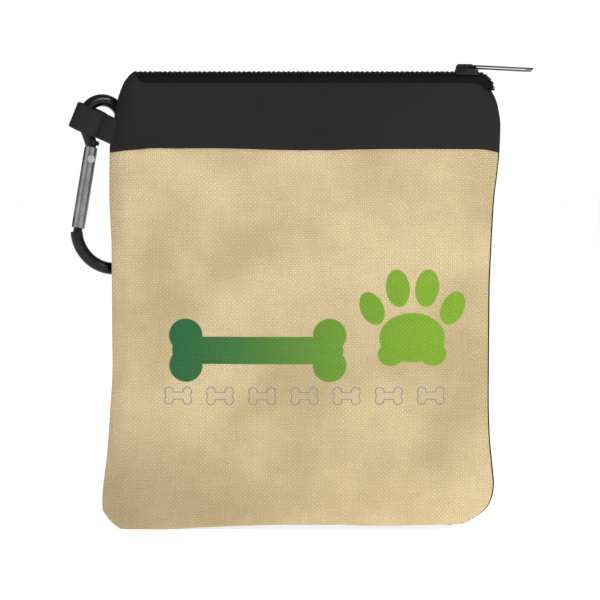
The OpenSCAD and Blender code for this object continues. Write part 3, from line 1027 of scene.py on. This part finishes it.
def zip_rows():
    """Coils, tapes, cords and the stitching that holds the coils down."""
    far, gap = 99.0, TOOTH_PITCH / 2
    slots = {"coil": "zip_coil", "tape": "zip_tape", "filler_cord": "zip_tape", "stitches": "thread"}
    split_coils = (("_left", -far, -gap), ("_right", gap, far))
    split_tapes = (("_left", -far, 0.0), ("_right", 0.0, far))
    unsplit = (("", -far, far),)
    thread = stitch(1.15, 0.14, STITCH)
    rows = ((-1, "front", split_coils, split_tapes), (1, "back", unsplit, unsplit))
    for side, face, coils, tapes in rows:
        one = tooth(side)
        made = {kind: [] for kind in slots}
        for label, low, high in coils:
            path = cut_path(low, high)
            # The back row starts one point on, so that its teeth lie between those of the front.
            row = lifted(path, 0, 0)[1 if side > 0 else 0:]
            under = lifted(path, side * (COIL_OUT + 0.45) / 2, -COIL_H / 2)
            over = lifted(path, side * (COIL_OUT - 0.55), -0.14)
            name = face + label
            made["coil"].append(strung("coil_row_" + name, row, one, TOOTH_PITCH, COIL))
            made["filler_cord"].append(tube("sewn_cord_" + name, under, CORD_R, TAPE, 8))
            made["stitches"].append(strung("coil_stitches_" + name, over, thread, STITCH_PITCH, STITCH))
        for label, low, high in tapes:
            made["tape"].append(tape_cloth("tape_cloth_" + face + label, side, low, high))
        for kind, slot in slots.items():
            for piece in made[kind]:
                if kind != "stitches":
                    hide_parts(kind + "_" + face)
            if side < 0:
                open_mouth(*made[kind])
            else:
                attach(made[kind][0], "pouch")
        bpy.data.objects.remove(one)
    bpy.data.objects.remove(thread)


def end_tacks():
    """Bars of close stitches under the ends of the coils."""
    low, high = corners("zip_end_tacks")
    thread = tube("thread", [(0, -2.4, 0), (0, 0, 0.12), (0, 2.4, 0)], 0.16, THREAD, sides=6)
    bars = []
    for sign in (-1, 1):
        x = high[0] - 0.75 if sign > 0 else ZIP_START + 0.8
        z = low[2] + 0.1 if sign > 0 else COIL_TOP - 1.2
        path = [(x + d, 0, z + 0.2 * d) for d in np.linspace(-0.7, 0.7, 5)]
        bars.append(strung("tack", path, thread, TACK_PITCH, THREAD))
    tacks = joined("zip_end_tack_stitches", bars)
    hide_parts("zip_end_tacks")
    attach(tacks, "pouch")
    bpy.data.objects.remove(thread)


# ------------------------------------------------------------------ slider and pull


def slider():
    """Slider body: two plates, side flanges and wedge, with softened cast edges."""
    x0, x1 = SLIDER_LOW[0], SLIDER_HIGH[0]
    y1 = SLIDER_HIGH[1]
    z0, z1 = SLIDER_LOW[2], SLIDER_HIGH[2]
    plate = 0.6
    parts = [
        block("upper", (x0, -y1, z1 - plate), (x1, y1, z1), ENAMEL),
        block("lower", (x0 + 0.2, -y1 + 0.5, z0), (x1 - 0.2, y1 - 0.5, z0 + plate), ENAMEL),
        block("wedge", (x0 + 4.7, -0.25, z0 + 0.3), (x1 - 0.65, 0.25, z1 - 0.3), ENAMEL),
    ]
    flange_low = z1 - plate - 1.5
    for side in (-1, 1):
        ys = sorted((side * (y1 - 0.45), side * (y1 + 0.02)))
        parts.append(block("flange", (x0 + 0.05, ys[0], flange_low), (x1 - 0.05, ys[1], z1 - 0.25), ENAMEL))
        ys = sorted((side * (y1 - 0.1), side * (y1 + 0.16)))
        cheek_low, cheek_high = (x0 + 1.2, ys[0], flange_low + 0.25), (x1 - 1.9, ys[1], z1 - 0.3)
        parts.append(block("cheek", cheek_low, cheek_high, ENAMEL))
    body = joined("slider_shell", [bevelled(part, 0.22) for part in parts])
    body.data.polygons.foreach_set("use_smooth", [True] * len(body.data.polygons))
    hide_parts("slider_body")
    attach(body, "slider")


def slider_cap():
    """Rounded cap with a flat top and a slope towards the pull."""
    x0, x1, z0, z1 = CAP_LOW[0], CAP_HIGH[0], CAP_LOW[2], CAP_HIGH[2]
    outline = [(x0 - 0.65, z0 - 0.05), (x0 - 0.5, z1 - 0.55), (x0 + 0.1, z1 + 0.15), (x0 + 4.5, z1 + 0.1),
               (x0 + 5.1, z1 - 0.3), (x1 + 0.5, z0 + 0.7), (x1 + 0.9, z0 - 0.05)]
    cap = bevelled(prism("slider_cap_shell", outline, CAP_LOW[1], CAP_HIGH[1], ENAMEL), 0.24, 4, 15)
    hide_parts("slider_cap")
    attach(cap, "slider")


def pull():
    """Slotted pull, rolled a little about its length so that its slot shows from the front."""
    pivot = np.array(JOINTS["pull_swing"]["pos_m"]) / MM
    half = PULL_BAR / 2
    end = PULL_L - 2.2
    parts = [tube("pivot", [(0, -PULL_BAR_Y, 0), (0, PULL_BAR_Y, 0)], 0.42, GUNMETAL, 16)]
    for side in (-1, 1):
        ys = sorted((side * (PULL_BAR_Y - half), side * (PULL_BAR_Y + half)))
        parts.append(block("bar", (-0.5, ys[0], -PULL_HALF), (PULL_L - 1.2, ys[1], PULL_HALF), GUNMETAL))
    edge = PULL_BAR_Y + half
    tip = [(end, -PULL_HALF), (PULL_L - 0.4, -PULL_HALF), (PULL_L, PULL_HALF), (end, PULL_HALF)]
    parts.append(prism("tip", tip, -edge, edge, GUNMETAL))
    parts[1:] = [bevelled(part, 0.2) for part in parts[1:]]
    frame_piece = joined("pull_frame", parts)
    frame_piece.data.polygons.foreach_set("use_smooth", [True] * len(frame_piece.data.polygons))
    turn = Matrix.Rotation(PULL_SLOPE, 4, "Y") @ Matrix.Rotation(-PULL_ROLL, 4, "X")
    frame_piece.data.transform(Matrix.Translation(Vector(pivot) * MM) @ turn)
    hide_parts("pull_tab")
    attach(frame_piece, "pull")


# ------------------------------------------------------------------ ribbon loop and clip


def loop_matrix():
    """The ribbon's frame: X points in along the ribbon, Z runs across its width."""
    seam = Vector(JOINTS["loop_flex"]["pos_m"])
    turn = Matrix.Rotation(-LOOP_YAW, 4, "Z") @ Matrix.Rotation(LOOP_RISE, 4, "Y")
    return Matrix.Translation(seam) @ turn


def ribbon_line():
    """The folded ribbon's middle line in its frame: one ply out, round the fold, and back."""
    start = 0.5 * RIBBON_T + 0.03
    swell = through((-RIBBON_TAIL, start), (RIBBON_START, start), (RIBBON_START + 0.7, 0.62 * RIBBON_R),
                    (RIBBON_OPEN, RIBBON_R), (RIBBON_FOLD, RIBBON_R))
    out = [(a, -float(swell(a))) for a in np.linspace(-RIBBON_TAIL, RIBBON_FOLD, 60)]
    angles = np.linspace(-math.pi / 2, math.pi / 2, 15)[1:-1]
    fold = [(RIBBON_FOLD + RIBBON_R * math.cos(a), RIBBON_R * math.sin(a)) for a in angles]
    return np.array(out + fold + [(a, -c) for a, c in reversed(out)])


def ribbon_loop():
    """The ribbon, folded round the clip's wire and sewn into the side seam."""
    line = ribbon_line()
    ahead = np.gradient(line, axis=0)
    ahead /= np.linalg.norm(ahead, axis=1)[:, None]
    out = np.stack([ahead[:, 1], -ahead[:, 0]], -1)
    half_w, half_t = RIBBON_W / 2, RIBBON_T / 2
    edge = 0.22
    flat, thin = half_w - edge, half_t * 0.6
    section = [(half_t, flat), (half_t, 0), (half_t, -flat), (thin, -half_w), (-thin, -half_w),
               (-half_t, -flat), (-half_t, 0), (-half_t, flat), (-thin, half_w), (thin, half_w)]
    travelled = np.concatenate([[0], np.cumsum(np.linalg.norm(np.diff(line, axis=0), axis=1))])
    points, marks = [], []
    for (a, c), (oa, oc), s in zip(line, out, travelled):
        for t, w in section:
            points.append((-(a + oa * t), c + oc * t, w))
            marks.append((s, w))
    n, m = len(line), len(section)
    faces = []
    for i in range(n - 1):
        a, b = i * m, (i + 1) * m
        faces += [(a + k, a + (k + 1) % m, b + (k + 1) % m, b + k) for k in range(m)]
    faces += [tuple(range(m)), tuple(range(n * m - 1, (n - 1) * m - 1, -1))]
    ribbon = make("side_loop_ribbon", points, faces, RIBBON)
    layer = ribbon.data.uv_layers.new(name="along_ribbon")
    for loop in ribbon.data.loops:
        s, w = marks[loop.vertex_index]
        layer.data[loop.index].uv = (s, w)
    facing_out(ribbon)
    place = loop_matrix()
    ribbon.data.transform(place)
    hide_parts("side_loop")
    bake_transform(ribbon)


def finish_node(node, material):
    """Gives a carried-over CAD piece its finish."""
    obj = frame["nodes"][node]
    for slot in obj.material_slots:
        slot.material = material


def gate_spring():
    """A copy of the gate's spring in spring steel, carried by the gate; it does not shorten."""
    mesh = frame["nodes"]["gate_spring"].data.copy()
    mesh.materials.clear()
    mesh.materials.append(STEEL)
    spring = bpy.data.objects.new("gate_spring_wire", mesh)
    bpy.context.collection.objects.link(spring)
    along = Vector(JOINTS["plunger_push"]["axis"]).normalized()
    rivet = Vector(JOINTS["gate_open"]["pos_m"])
    reach = [(vertex.co - rivet).dot(along) for vertex in mesh.vertices]
    free, travel = max(reach) - min(reach), JOINTS["plunger_push"]["range_m"][1]
    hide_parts("gate_spring")
    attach(spring, "gate")
    1 - 1.1 * travel / free
    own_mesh(spring)


def clip():
    """The clip's parts and the lock spring keep their shape and get their finishes."""
    gate_spring()
    for node, material in (("clip_frame", CLIP_ENAMEL), ("gate_rivet", STEEL), ("clip_gate", GATE),
                           ("gate_plunger", BRASS), ("slider_lock_spring", STEEL)):
        finish_node(node, material)


# ------------------------------------------------------------------ camera, light and floor


def camera():
    """A long lens level with the pouch, a little above it."""
    data = bpy.data.cameras.new("camera")
    data.lens, data.sensor_width = LENS, 36
    data.clip_start, data.clip_end = 0.01, 20
    obj = bpy.data.objects.new("camera", data)
    bpy.context.collection.objects.link(obj)
    back = Vector((0, -math.cos(CAMERA_RISE), math.sin(CAMERA_RISE)))
    obj.location = Vector(AIM) + back * CAMERA_AWAY
    obj.rotation_euler = (-back).to_track_quat("-Z", "Y").to_euler()
    bpy.context.scene.camera = obj


def light(name, place, aim, size, power):
    """A square area light at a place, aimed at another."""
    data = bpy.data.lights.new(name, "AREA")
    data.shape, data.size, data.energy = "SQUARE", size, power
    obj = bpy.data.objects.new(name, data)
    bpy.context.collection.objects.link(obj)
    obj.location = place
    obj.rotation_euler = (Vector(aim) - Vector(place)).to_track_quat("-Z", "Y").to_euler()


def studio():
    """White surroundings with a soft key from the upper right."""
    scene = bpy.context.scene
    scene.view_settings.view_transform = "Standard"
    world = bpy.data.worlds.new("studio")
    scene.world = world
    world.use_nodes = True
    nodes, links = world.node_tree.nodes, world.node_tree.links
    background = nodes["Background"]
    background.inputs["Color"].default_value = (1, 1, 1, 1)
    path = nodes.new("ShaderNodeLightPath")
    strength = nodes.new("ShaderNodeMapRange")
    strength.inputs["To Min"].default_value = SKY_LIGHT
    strength.inputs["To Max"].default_value = SKY_SEEN
    links.new(path.outputs["Is Camera Ray"], strength.inputs["Value"])
    links.new(strength.outputs["Result"], background.inputs["Strength"])
    light("key", (0.60, -0.80, 0.70), (0, 0, 0.08), 0.45, 7.6)
    light("fill", (-0.9, -0.7, 0.35), (0, 0, 0.08), 0.7, 2.0)
    light("rim", (0.2, 0.9, 0.8), (0, 0, 0.1), 0.6, 1.2)
    floor = bpy.data.meshes.new("floor")
    floor.from_pydata([(-30, -3, 0), (30, -3, 0), (30, 60, 0), (-30, 60, 0)], [], [(0, 1, 2, 3)])
    floor.materials.append(floor_finish())
    obj = bpy.data.objects.new("floor", floor)
    bpy.context.collection.objects.link(obj)


camera()
studio()
front_cloth()
back_cloth()
bindings()
zip_rows()
end_tacks()
slider()
slider_cap()
pull()
ribbon_loop()
clip()
